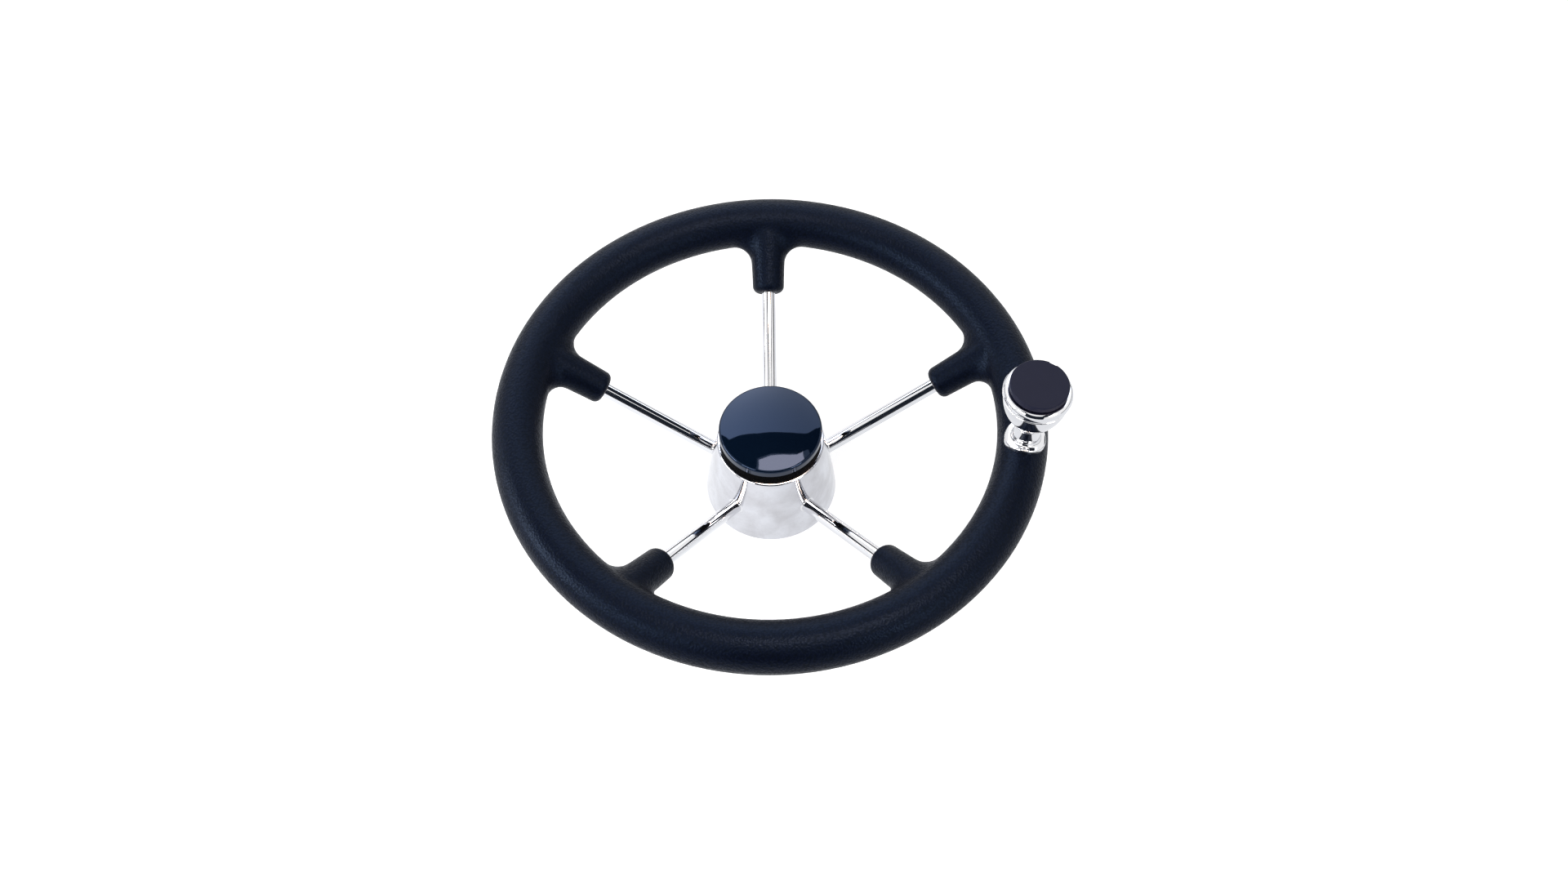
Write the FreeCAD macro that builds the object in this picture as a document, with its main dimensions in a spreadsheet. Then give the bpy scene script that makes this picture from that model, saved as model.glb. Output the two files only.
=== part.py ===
import FreeCAD, Part
import os
import re
import Sketcher

# A stainless boat steering wheel: five polished rods carry a foam covered ring from a conical hub,
# and a free turning spinner knob stands on the ring.
# Millimetres. The origin is on the wheel's axis at the mouth of the shaft bore, +Z points to the driver,
# and +Y points to the spoke that is uppermost when the boat runs straight.

# Each driving size: its name in the sheet, its value and what it is.
SIZES = (
    ("overall_diameter", 343.0, "outside of the grip, edge to edge"),
    ("grip_diameter", 31.0, "section of the foam grip"),
    ("rim_height", 83.5, "hub base to the middle of the grip"),
    ("core_diameter", 16.0, "steel ring tube inside the foam"),
    ("core_wall", 1.5, "wall of the ring tube"),
    ("seat_gap", 0.05, "clearance left where two fixed pieces seat"),
    ("spoke_count", 5, "spokes, evenly spaced"),
    ("spoke_diameter", 9.2, "polished rod"),
    ("spoke_seat", 15.3, "hub base to the spoke's axis where it meets the boss"),
    ("spoke_rise", 2.0, "spoke axis above the ring's middle where they meet"),
    ("spoke_hole_gap", 0.1, "round each spoke where it enters the hub cone"),
    ("boot_reach", 50.0, "along the spoke, ring centreline to the end of the foam boot"),
    ("boot_tip_diameter", 21.0, "foam boot at its free end"),
    ("boot_root_diameter", 24.6, "foam boot at the ring centreline"),
    ("boot_tip_round", 4.5, "rounding of the boot's free end"),
    ("boot_fillet", 12.0, "blend of the boot into the grip"),
    ("hub_height", 54.6, "hub base to the cone's lip"),
    ("hub_base_diameter", 86.2, "cone at its base"),
    ("hub_top_diameter", 69.0, "cone at its lip"),
    ("hub_wall", 1.5, "spun sheet of the cone"),
    ("hub_side_radius", 700.0, "slight outward bow of the cone's side"),
    ("hub_lip_round", 1.6, "rounding of the cone's lip"),
    ("hub_mouth_diameter", 60.0, "opening in the cone's turned-in lip"),
    ("boss_diameter", 40.0, "turned boss that takes the shaft"),
    ("boss_spigot_diameter", 30.0, "boss above the shoulder"),
    ("boss_edge", 1.0, "chamfer of the boss's outer edges"),
    ("plate_thickness", 3.0, "disc between boss and cone"),
    ("plate_clearance", 3.1, "top plate to the end of the cap's spigot"),
    ("bore_mouth_diameter", 19.3, "parallel lead-in that clears the shaft"),
    ("bore_mouth_length", 5.0, "length of the parallel lead-in"),
    ("taper_large_diameter", 19.05, "large end of the shaft taper"),
    ("taper_length", 34.0, "length of the shaft taper"),
    ("taper_rate", 12.0, "length over which the bore closes by one"),
    ("stud_hole_diameter", 13.5, "clears the shaft's threaded end"),
    ("key_width", 4.76, "keyway"),
    ("key_depth", 2.3, "keyway beyond the large end of the taper"),
    ("cap_diameter", 65.4, "hub cap flange"),
    ("cap_edge_height", 5.2, "side of the cap flange"),
    ("cap_crown", 5.6, "rise of the domed top"),
    ("cap_shoulder", 2.0, "rounding between side and dome"),
    ("cap_wall", 2.4, "moulded wall of the cap"),
    ("cap_spigot_clearance", 0.3, "between the cap's spigot and the cone's mouth"),
    ("cap_spigot_depth", 5.0, "spigot below the cone's lip"),
    ("cap_spigot_wall", 2.4, "wall of the spigot"),
    ("seal_height", 7.9, "rubber ring between cone and cap"),
    ("seal_diameter", 64.2, "outside of the rubber ring"),
    ("ring_section", 3.0, "cord of the cap's retaining ring"),
    ("ring_bite", 1.0, "depth of the retaining ring's groove"),
    ("knob_azimuth", -10.5, "place of the knob round the rim, degrees from +X"),
    ("mount_diameter", 12.0, "threaded mount welded into the ring tube"),
    ("mount_proud", 0.5, "mount above the crown of the grip"),
    ("mount_depth", 17.0, "mount below the crown of the grip"),
    ("stud_diameter", 8.0, "threaded ends of the axle"),
    ("stud_length", 13.0, "lower threaded end of the axle"),
    ("foot_height", 15.2, "crown of the grip to the top of the foot"),
    ("foot_pad_diameter", 25.0, "pad of the foot that sits astride the grip"),
    ("foot_pad_thickness", 2.8, "pad above the grip"),
    ("foot_pad_round", 1.0, "edge of the pad"),
    ("foot_neck_diameter", 16.6, "foot above the pad"),
    ("foot_top_diameter", 16.0, "foot at its top"),
    ("foot_neck_fillet", 2.5, "blend of the neck into the pad"),
    ("foot_top_edge", 0.5, "chamfer of the foot's top"),
    ("axle_diameter", 10.0, "shoulder that the knob turns on"),
    ("axle_clearance", 0.1, "between the axle and what is fixed round it"),
    ("collar_diameter", 13.4, "collar that clamps the foot"),
    ("collar_thickness", 2.0, "collar along the axle"),
    ("thrust_thickness", 0.7, "washer between foot and knob"),
    ("thrust_diameter", 15.0, "washer between foot and knob"),
    ("end_float", 0.1, "play of the knob at each end"),
    ("bush_running_gap", 0.05, "bush bore round the axle"),
    ("bush_diameter", 14.0, "outside of both bushes"),
    ("bush_length", 8.0, "length of each bush"),
    ("knob_web_diameter", 12.0, "knob's bore between the bushes"),
    ("knob_height", 35.1, "knob body from its lower face to the top of its ring"),
    ("knob_recess_depth", 9.8, "top recess that holds the nut and the cap"),
    ("knob_recess_diameter", 29.0, "recess round the nut"),
    ("knob_foot_diameter", 16.8, "knob's lower face"),
    ("knob_bead_diameter", 17.6, "knob above its lower bead"),
    ("knob_bead_height", 1.8, "lower bead"),
    ("knob_bead_radius", 1.05, "section of the lower bead"),
    ("knob_belly_diameter", 38.4, "knob under its ring"),
    ("knob_belly_height", 26.8, "knob's lower face to the groove under the ring"),
    ("knob_belly_radius", 40.0, "swell of the tulip's side"),
    ("knob_groove_width", 1.7, "groove under the ring"),
    ("knob_groove_radius", 1.0, "section of that groove"),
    ("knob_ring_radius", 4.3, "rounding of the ring"),
    ("knob_rim_diameter", 36.4, "ring at its top edge"),
    ("knob_cap_seat", 2.5, "ledge for the cap below the ring's top"),
    ("knob_cap_ledge", 1.5, "width of that ledge"),
    ("knob_cap_gap", 1.2, "ring's top to the cap's disc"),
    ("knob_cap_thickness", 3.6, "cap's disc"),
    ("knob_cap_diameter", 34.2, "cap's disc"),
    ("knob_cap_skirt", 1.8, "wall of the cap's skirt"),
    ("knob_cap_clearance", 0.15, "between the cap's skirt and the ring"),
    ("knob_cap_bevel", 0.6, "edge of the cap"),
    ("notch_width", 4.5, "pry notch in the cap's edge"),
    ("notch_depth", 1.0, "pry notch in the cap's edge"),
    ("notch_angle", 67.5, "pry notch from the wheel's outward direction, degrees"),
    ("top_washer_diameter", 18.0, "washer under the nut"),
    ("top_washer_thickness", 1.5, "washer under the nut"),
    ("nut_width", 13.0, "nut across its flats"),
    ("nut_height", 4.6, "nut along the axle"),
    ("thread_gap", 0.05, "between a thread and its hole"),
    ("end_chamfer", 0.8, "chamfer of the threaded ends"),
)

# Places and sizes that follow from the driving ones, as formulas on their names.
TIES = {
    "grip_radius": "grip_diameter / 2",
    "core_radius": "core_diameter / 2",
    "ring_radius": "(overall_diameter - grip_diameter) / 2",
    "grip_crown": "rim_height + grip_radius",
    "spoke_climb": "rim_height + spoke_rise - spoke_seat",
    "spoke_slope": "atan(spoke_climb / (ring_radius - boss_radius))",
    "spoke_origin": "spoke_seat - boss_radius * tan(spoke_slope)",
    "spoke_to_ring": "ring_radius / cos(spoke_slope)",
    "spoke_radius": "spoke_diameter / 2",
    "boot_end": "spoke_to_ring - boot_reach",
    "boss_radius": "boss_diameter / 2",
    "plate_top": "hub_side_height - cap_spigot_depth - plate_clearance",
    "boss_height": "plate_top - plate_thickness",
    "spigot_radius": "boss_spigot_diameter / 2",
    "hub_base_radius": "hub_base_diameter / 2",
    "hub_top_radius": "hub_top_diameter / 2",
    "hub_side_height": "hub_height - hub_wall",
    "hub_bow": "(hub_side_height ^ 2 + (hub_base_radius - hub_top_radius) ^ 2) / (2 * hub_side_radius)",
    "mouth_radius": "hub_mouth_diameter / 2",
    "cap_radius": "cap_diameter / 2",
    "cap_base": "hub_height + seal_height",
    "cap_edge": "cap_base + cap_edge_height",
    "cap_spigot_radius": "mouth_radius - cap_spigot_clearance",
    "cap_spigot_inner": "cap_spigot_radius - cap_spigot_wall",
    "crown_radius": "(cap_radius ^ 2 + cap_crown ^ 2) / (2 * cap_crown)",
    "crown_centre": "cap_edge + cap_crown - crown_radius",
    "shoulder_rise": "sqrt((crown_radius - cap_shoulder) ^ 2 - (cap_radius - cap_shoulder) ^ 2)",
    "shoulder_share": "crown_radius / (crown_radius - cap_shoulder)",
    "retaining_radius": "cap_spigot_radius - ring_bite + ring_section / 2",
    "retaining_height": "hub_side_height - seat_gap - ring_section / 2",
    "taper_small_radius": "(taper_large_diameter - taper_length / taper_rate) / 2",
    "stud_radius": "stud_diameter / 2",
    "axle_radius": "axle_diameter / 2",
    "mount_radius": "mount_diameter / 2",
    "pad_radius": "foot_pad_diameter / 2",
    "pad_curve": "grip_radius + foot_pad_thickness",
    "pad_blank_reach": "pad_radius + foot_pad_thickness",
    "pad_blank_edge": "sqrt(pad_curve ^ 2 - pad_blank_reach ^ 2) - grip_radius",
    "neck_radius": "foot_neck_diameter / 2",
    "foot_top_radius": "foot_top_diameter / 2",
    "collar_radius": "collar_diameter / 2",
    "knob_base": "foot_height + thrust_thickness + end_float",
    "knob_top": "knob_base + knob_height",
    "recess_floor": "knob_top - knob_recess_depth",
    "axle_top": "recess_floor + end_float",
    "nut_seat": "axle_top + top_washer_thickness",
    "recess_radius": "knob_recess_diameter / 2",
    "cap_ledge_height": "knob_top - knob_cap_seat",
    "cap_pocket_radius": "recess_radius + knob_cap_ledge",
    "cap_skirt_radius": "cap_pocket_radius - knob_cap_clearance",
    "cap_disc_base": "knob_top + knob_cap_gap",
    "cap_disc_top": "cap_disc_base + knob_cap_thickness",
    "bush_radius": "bush_diameter / 2",
    "groove_base": "knob_base + knob_belly_height",
}

NAMES = {name for name, value, note in SIZES}

doc = FreeCAD.newDocument("boat_steering_wheel")


# Sheet and formulas

def make_sheet():
    """Put every driving size in the sheet, one row each."""
    dims = doc.addObject("Spreadsheet::Sheet", "Dims")
    for row, (name, value, note) in enumerate(SIZES, start=1):
        dims.set(f"A{row}", name)
        dims.set(f"B{row}", str(value))
        dims.set(f"C{row}", note)
        dims.setAlias(f"B{row}", name)
    doc.recompute()
    return dims


def formula(text):
    """Spell a formula out in the sheet's own cells."""

    def spell(match):
        word = match.group(0)
        if word in TIES:
            return f"({formula(TIES[word])})"
        if word in NAMES:
            return f"Dims.{word}"
        return word

    return re.sub(r"[a-z][a-z0-9_]*", spell, str(text))


def number(text):
    """Work a formula out now."""
    return float(sheet.evalExpression(formula(text)))


def bind(thing, place, text):
    """Tie a property to a formula."""
    thing.setExpression(place, formula(text))


# Bodies, sketches and features

def new_body(label):
    body = doc.addObject("PartDesign::Body", label)
    body.Label = label
    return body


def origin_plane(body, role):
    return next(item for item in body.Origin.OriginFeatures if item.Role == role)


def new_sketch(body, name, role="XZ_Plane"):
    """A sketch on one of the body's own planes. On XZ_Plane its axes are the body's X and Z."""
    sketch = body.newObject("Sketcher::SketchObject", name)
    sketch.AttachmentSupport = (origin_plane(body, role), [""])
    sketch.MapMode = "FlatFace"
    return sketch


def new_spoke_sketch(body, name):
    """A sketch on YZ_Plane whose X axis is the first spoke's axis, measured out from the wheel's axis."""
    sketch = new_sketch(body, name, "YZ_Plane")
    place = "placement(vector(0; spoke_origin; 0); rotation(vector(0; 0; 1); spoke_slope))"
    bind(sketch, "AttachmentOffset", place)
    return sketch


def hold_point(sketch, element, end, x_text, y_text):
    """Dimension one point from the sketch's origin, or put it on an axis where the formula is 0."""
    for kind, axis, text in (("DistanceX", -2, x_text), ("DistanceY", -1, y_text)):
        if text == "0":
            sketch.addConstraint(Sketcher.Constraint("PointOnObject", element, end, axis))
            continue
        rule = Sketcher.Constraint(kind, -1, 1, element, end, number(text))
        place = sketch.addConstraint(rule)
        bind(sketch, f"Constraints[{place}]", text)


def circle(sketch, x_text, y_text, radius_text):
    centre = FreeCAD.Vector(number(x_text), number(y_text), 0)
    up = FreeCAD.Vector(0, 0, 1)
    element = sketch.addGeometry(Part.Circle(centre, up, number(radius_text)))
    hold_point(sketch, element, 3, x_text, y_text)
    place = sketch.addConstraint(Sketcher.Constraint("Radius", element, number(radius_text)))
    bind(sketch, f"Constraints[{place}]", radius_text)


def arc_between(first, last, radius, turn):
    """The short arc from first to last. It curves to the left where turn is 1, to the right where -1."""
    chord = last - first
    reach = (radius ** 2 - chord.Length ** 2 / 4) ** 0.5
    side = FreeCAD.Vector(-chord.y, chord.x, 0).normalize()
    centre = (first + last) / 2 + side * reach * turn
    start, stop = (first, last) if turn > 0 else (last, first)
    ring = Part.Circle(centre, FreeCAD.Vector(0, 0, 1), radius)
    return Part.ArcOfCircle(ring, ring.parameter(start), ring.parameter(stop))


def outline(sketch, corners):
    """Draw a closed outline through corners.

    A corner is (x, y), or (x, y, radius, turn) where an arc leads on to the next corner.
    """
    points = [FreeCAD.Vector(number(corner[0]), number(corner[1]), 0) for corner in corners]
    ends = []
    for here, corner in enumerate(corners):
        first = points[here]
        last = points[(here + 1) % len(points)]
        if len(corner) == 2:
            element = sketch.addGeometry(Part.LineSegment(first, last))
            ends.append((element, 1, 2))
            continue
        radius_text, turn = corner[2:]
        element = sketch.addGeometry(arc_between(first, last, number(radius_text), turn))
        ends.append((element, 1, 2) if turn > 0 else (element, 2, 1))
        place = sketch.addConstraint(Sketcher.Constraint("Radius", element, number(radius_text)))
        bind(sketch, f"Constraints[{place}]", radius_text)
    for here, (element, start, stop) in enumerate(ends):
        following, next_start, _ = ends[(here + 1) % len(ends)]
        sketch.addConstraint(Sketcher.Constraint("Coincident", element, stop, following, next_start))
        hold_point(sketch, element, start, corners[here][0], corners[here][1])


def box_outline(sketch, x_low, x_high, y_low, y_high):
    outline(sketch, ((x_low, y_low), (x_high, y_low), (x_high, y_high), (x_low, y_high)))


def turn_about(body, sketch, name, axis="V_Axis", cut=False):
    """Turn a sketch a full circle about one of its axes, to add material or to cut it."""
    kind = "PartDesign::Groove" if cut else "PartDesign::Revolution"
    feature = body.newObject(kind, name)
    feature.Profile = sketch
    feature.ReferenceAxis = (sketch, [axis])
    feature.Angle = 360.0
    sketch.Visibility = False
    return feature


def repeat_round(body, feature, sketch, name, axis="V_Axis"):
    """Repeat a feature once for each spoke, about the wheel's axis."""
    pattern = body.newObject("PartDesign::PolarPattern", name)
    pattern.Originals = [feature]
    pattern.Axis = (sketch, [axis])
    pattern.Angle = 360.0
    bind(pattern, "Occurrences", "spoke_count")
    body.Tip = pattern
    return pattern


def drill_up(body, name, z_low, depth, draw):
    """Cut upwards from a height, through an outline that draw puts on a sketch."""
    sketch = new_sketch(body, f"{name}_sketch", "XY_Plane")
    bind(sketch, "AttachmentOffset", f"placement(vector(0; 0; {z_low}); rotation(vector(0; 0; 1); 0))")
    draw(sketch)
    pocket = body.newObject("PartDesign::Pocket", name)
    pocket.Profile = sketch
    pocket.Reversed = True
    bind(pocket, "Length", depth)
    return pocket


def soften(body, feature, name, radius_text, wanted):
    """Round the edges that wanted picks."""
    doc.recompute()
    edges = feature.Shape.Edges
    picked = [f"Edge{place}" for place, edge in enumerate(edges, start=1) if wanted(edge)]
    blend = body.newObject("PartDesign::Fillet", name)
    blend.Base = (feature, picked)
    bind(blend, "Radius", radius_text)
    return blend


def turned_piece(label, corners):
    """A piece turned about its own Z axis from one outline."""
    body = new_body(label)
    sketch = new_sketch(body, f"{label}_outline")
    outline(sketch, corners)
    turn_about(body, sketch, f"{label}_turned")
    return body


def stand_on_rim(body):
    """Place a piece of the knob: its Z axis through the ring's centreline, its zero at the grip's crown."""
    spot = "vector(ring_radius * cos(knob_azimuth); ring_radius * sin(knob_azimuth); grip_crown)"
    bind(body, "Placement", f"placement({spot}; rotation(vector(0; 0; 1); knob_azimuth))")


def cone_inside(height_text):
    """The inner radius of the hub cone at a height, with the bow of its side."""
    share = f"({height_text} / hub_side_height)"
    straight = f"hub_base_radius - (hub_base_radius - hub_top_radius) * {share}"
    return f"{straight} + hub_bow * {share} * (1 - {share}) - hub_wall"


# Rim

def knob_hole(sketch):
    """The hole for the knob's mount, over the ring's centreline."""
    x_text = "ring_radius * cos(knob_azimuth)"
    y_text = "ring_radius * sin(knob_azimuth)"
    circle(sketch, x_text, y_text, "mount_radius + seat_gap")


def make_grip():
    """One foam moulding: the ring, a boot over each spoke's end, and the hollow for the steel inside.

    Half of one spoke's share is blended, then mirrored and repeated round the wheel.
    """
    body = new_body("foam_grip")
    section = new_sketch(body, "grip_section", "YZ_Plane")
    circle(section, "ring_radius", "rim_height", "grip_radius")
    ring = turn_about(body, section, "half_share_of_ring")
    ring.Reversed = True
    bind(ring, "Angle", "180 / spoke_count")

    boot = new_spoke_sketch(body, "boot_outline")
    outline(boot, (
        ("boot_end", "0"),
        ("spoke_to_ring", "0"),
        ("spoke_to_ring", "boot_root_diameter / 2"),
        ("boot_end + boot_tip_round", "boot_tip_diameter / 2", "boot_tip_round", 1),
        ("boot_end", "boot_tip_diameter / 2 - boot_tip_round"),
    ))
    half_boot = turn_about(body, boot, "half_boot", "H_Axis")
    half_boot.Angle = 180.0
    blend = soften(body, half_boot, "boot_blend", "boot_fillet", meets_ring)
    whole_share = body.newObject("PartDesign::Mirrored", "share_of_one_spoke")
    whole_share.TransformMode = "Whole shape"
    whole_share.MirrorPlane = (origin_plane(body, "YZ_Plane"), [""])
    body.Tip = whole_share
    shares = body.newObject("PartDesign::PolarPattern", "shares_of_all_spokes")
    shares.TransformMode = "Whole shape"
    shares.Refine = False
    shares.Axis = (section, ["V_Axis"])
    shares.Angle = 360.0
    bind(shares, "Occurrences", "spoke_count")
    body.Tip = shares
    # The pattern only finds its base shape on this pass, and makes its copies on the next one.
    doc.recompute()

    core = new_sketch(body, "core_section")
    circle(core, "ring_radius", "rim_height", "core_radius + seat_gap")
    turn_about(body, core, "core_hollow", cut=True)

    bore = new_spoke_sketch(body, "spoke_bore_outline")
    box_outline(bore, "boot_end - boot_tip_round", "spoke_to_ring", "0", "spoke_radius + seat_gap")
    first_bore = turn_about(body, bore, "first_spoke_bore", "H_Axis", cut=True)
    repeat_round(body, first_bore, section, "spoke_bores")
    hole = drill_up(body, "mount_hole", "rim_height", "grip_diameter", knob_hole)
    body.Tip = hole
    return body


def edge_points(edge):
    """Five points along an edge, both ends included."""
    first, last = edge.ParameterRange
    return [edge.valueAt(first + share * (last - first)) for share in (0, 0.25, 0.5, 0.75, 1)]


def on_tube(edge, axis_x, height, tube_radius):
    """Whether an edge follows the skin of a tube that is bent round an upright axis to the rim's radius."""
    if edge.Degenerated:
        return False
    for point in edge_points(edge):
        out = ((point.x - axis_x) ** 2 + point.y ** 2) ** 0.5 - number("ring_radius")
        away = (out ** 2 + (point.z - height) ** 2) ** 0.5
        if abs(away - tube_radius) > 0.05:
            return False
    return True


def meets_ring(edge):
    """Picks the edge where a boot meets the ring, not the round ends of the ring's share."""
    if not on_tube(edge, 0, number("rim_height"), number("grip_radius")):
        return False
    return not isinstance(edge.Curve, Part.Circle)


def make_core():
    """The closed ring of tube inside the foam, holed for the knob's mount."""
    body = new_body("rim_core_tube")
    section = new_sketch(body, "tube_section")
    circle(section, "ring_radius", "rim_height", "core_radius")
    circle(section, "ring_radius", "rim_height", "core_radius - core_wall")
    turn_about(body, section, "tube_ring")
    hole = drill_up(body, "mount_hole_in_tube", "rim_height", "grip_diameter", knob_hole)
    body.Tip = hole
    return body


def make_spoke(place):
    """One rod, coped to the boss at its inner end and to the ring tube at its outer end."""
    label = f"spoke_{place + 1}"
    body = new_body(label)
    rod = new_spoke_sketch(body, f"{label}_outline")
    box_outline(rod, "boss_radius / 2", "spoke_to_ring", "0", "spoke_radius")
    turn_about(body, rod, f"{label}_rod", "H_Axis")

    outer_cope = new_sketch(body, f"{label}_outer_cope")
    circle(outer_cope, "ring_radius", "rim_height", "core_radius + seat_gap")
    turn_about(body, outer_cope, f"{label}_coped_to_ring", cut=True)

    inner_cope = new_sketch(body, f"{label}_inner_cope")
    box_outline(inner_cope, "0", "boss_radius + seat_gap", "0", "boss_height")
    turn_about(body, inner_cope, f"{label}_coped_to_boss", cut=True)
    turn = f"rotation(vector(0; 0; 1); {place} * 360 / spoke_count)"
    bind(body, "Placement", f"placement(vector(0; 0; 0); {turn})")
    return body


# Hub

def make_cone():
    """The spun cone: a slightly bowed side, a rounded lip turned in to a flange, a hole for each spoke."""
    body = new_body("hub_cone")
    shell = new_sketch(body, "cone_outline")
    outline(shell, (
        ("hub_base_radius", "0", "hub_side_radius", 1),
        ("hub_top_radius", "hub_height - hub_lip_round", "hub_lip_round", 1),
        ("hub_top_radius - hub_lip_round", "hub_height"),
        ("mouth_radius", "hub_height"),
        ("mouth_radius", "hub_side_height"),
        ("hub_top_radius - hub_wall", "hub_side_height", "hub_side_radius", -1),
        ("hub_base_radius - hub_wall", "0"),
    ))
    turn_about(body, shell, "cone_shell")
    hole = new_spoke_sketch(body, "spoke_hole_outline")
    box_outline(hole, "boss_radius / cos(spoke_slope)", "hub_base_radius / cos(spoke_slope)",
                "0", "spoke_radius + spoke_hole_gap")
    first_hole = turn_about(body, hole, "first_spoke_hole", "H_Axis", cut=True)
    repeat_round(body, first_hole, shell, "spoke_holes")
    return body


def make_boss():
    """The turned boss: a parallel mouth, the shaft's taper with its keyway, and a hole for the stud."""
    body = turned_piece("hub_boss", (
        ("bore_mouth_diameter / 2", "0"),
        ("boss_radius - boss_edge", "0"),
        ("boss_radius", "boss_edge"),
        ("boss_radius", "boss_height"),
        ("spigot_radius", "boss_height"),
        ("spigot_radius", "plate_top"),
        ("stud_hole_diameter / 2", "plate_top"),
        ("stud_hole_diameter / 2", "bore_mouth_length + taper_length"),
        ("taper_small_radius", "bore_mouth_length + taper_length"),
        ("taper_large_diameter / 2", "bore_mouth_length"),
        ("bore_mouth_diameter / 2", "bore_mouth_length"),
    ))

    def keyway(sketch):
        box_outline(sketch, "-key_width / 2", "key_width / 2", "0", "taper_large_diameter / 2 + key_depth")

    slot = drill_up(body, "keyway", "0", "bore_mouth_length + taper_length", keyway)
    body.Tip = slot
    return body


def make_plate():
    """The disc that ties the boss to the cone, seated on the boss's shoulder."""
    return turned_piece("hub_top_plate", (
        ("spigot_radius + seat_gap", "boss_height"),
        (cone_inside("boss_height") + " - seat_gap", "boss_height"),
        (cone_inside("plate_top") + " - seat_gap", "plate_top"),
        ("spigot_radius + seat_gap", "plate_top"),
    ))


def make_seal():
    """The rubber ring that the cap sits on."""
    return turned_piece("cap_seal", (
        ("cap_spigot_radius + seat_gap", "hub_height"),
        ("seal_diameter / 2", "hub_height"),
        ("seal_diameter / 2", "cap_base"),
        ("cap_spigot_radius + seat_gap", "cap_base"),
    ))


def make_cap():
    """The moulded cap: a domed top, a rounded flange, and a spigot grooved for its retaining ring."""
    body = new_body("hub_cap")
    section = new_sketch(body, "cap_outline")
    outline(section, (
        ("cap_spigot_radius", "hub_side_height - cap_spigot_depth"),
        ("cap_spigot_radius", "cap_base"),
        ("cap_radius", "cap_base"),
        ("cap_radius", "crown_centre + shoulder_rise", "cap_shoulder", 1),
        ("(cap_radius - cap_shoulder) * shoulder_share", "crown_centre + shoulder_rise * shoulder_share",
         "crown_radius", 1),
        ("0", "cap_edge + cap_crown"),
        ("0", "cap_edge + cap_crown - cap_wall", "crown_radius - cap_wall", -1),
        ("cap_spigot_inner", "crown_centre + sqrt((crown_radius - cap_wall) ^ 2 - cap_spigot_inner ^ 2)"),
        ("cap_spigot_inner", "hub_side_height - cap_spigot_depth"),
    ))
    turn_about(body, section, "cap_moulding")
    groove = new_sketch(body, "retaining_groove_section")
    circle(groove, "retaining_radius", "retaining_height", "ring_section / 2 + seat_gap")
    turn_about(body, groove, "retaining_groove", cut=True)
    return body


def make_retaining_ring():
    body = new_body("cap_retaining_ring")
    section = new_sketch(body, "retaining_ring_section")
    circle(section, "retaining_radius", "retaining_height", "ring_section / 2")
    turn_about(body, section, "retaining_ring")
    return body


# Spinner knob, each piece with its zero at the crown of the grip

def make_mount():
    """The blind threaded mount that is welded into the ring tube."""
    return turned_piece("knob_mount", (
        ("0", "-mount_depth"),
        ("mount_radius", "-mount_depth"),
        ("mount_radius", "mount_proud"),
        ("stud_radius + thread_gap", "mount_proud"),
        ("stud_radius + thread_gap", "mount_proud - stud_length - end_chamfer"),
        ("0", "mount_proud - stud_length - end_chamfer - stud_radius / 2"),
    ))


def rim_axis(sketch):
    """The wheel's axis, to turn about in a sketch of a piece that stands on the rim."""
    foot = FreeCAD.Vector(-number("ring_radius"), 0, 0)
    head = FreeCAD.Vector(-number("ring_radius"), number("grip_radius"), 0)
    line = sketch.addGeometry(Part.LineSegment(foot, head), True)
    hold_point(sketch, line, 1, "-ring_radius", "0")
    hold_point(sketch, line, 2, "-ring_radius", "grip_radius")


def pad_edge_at(radius_text):
    """Picks the edges where the pad's curved top meets an upright wall of this radius."""

    def picks(edge):
        if not on_tube(edge, -number("ring_radius"), -number("grip_radius"), number("pad_curve")):
            return False
        return all(abs(point.x ** 2 + point.y ** 2 - number(radius_text) ** 2) < 1
                   for point in edge_points(edge))

    return picks


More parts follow.
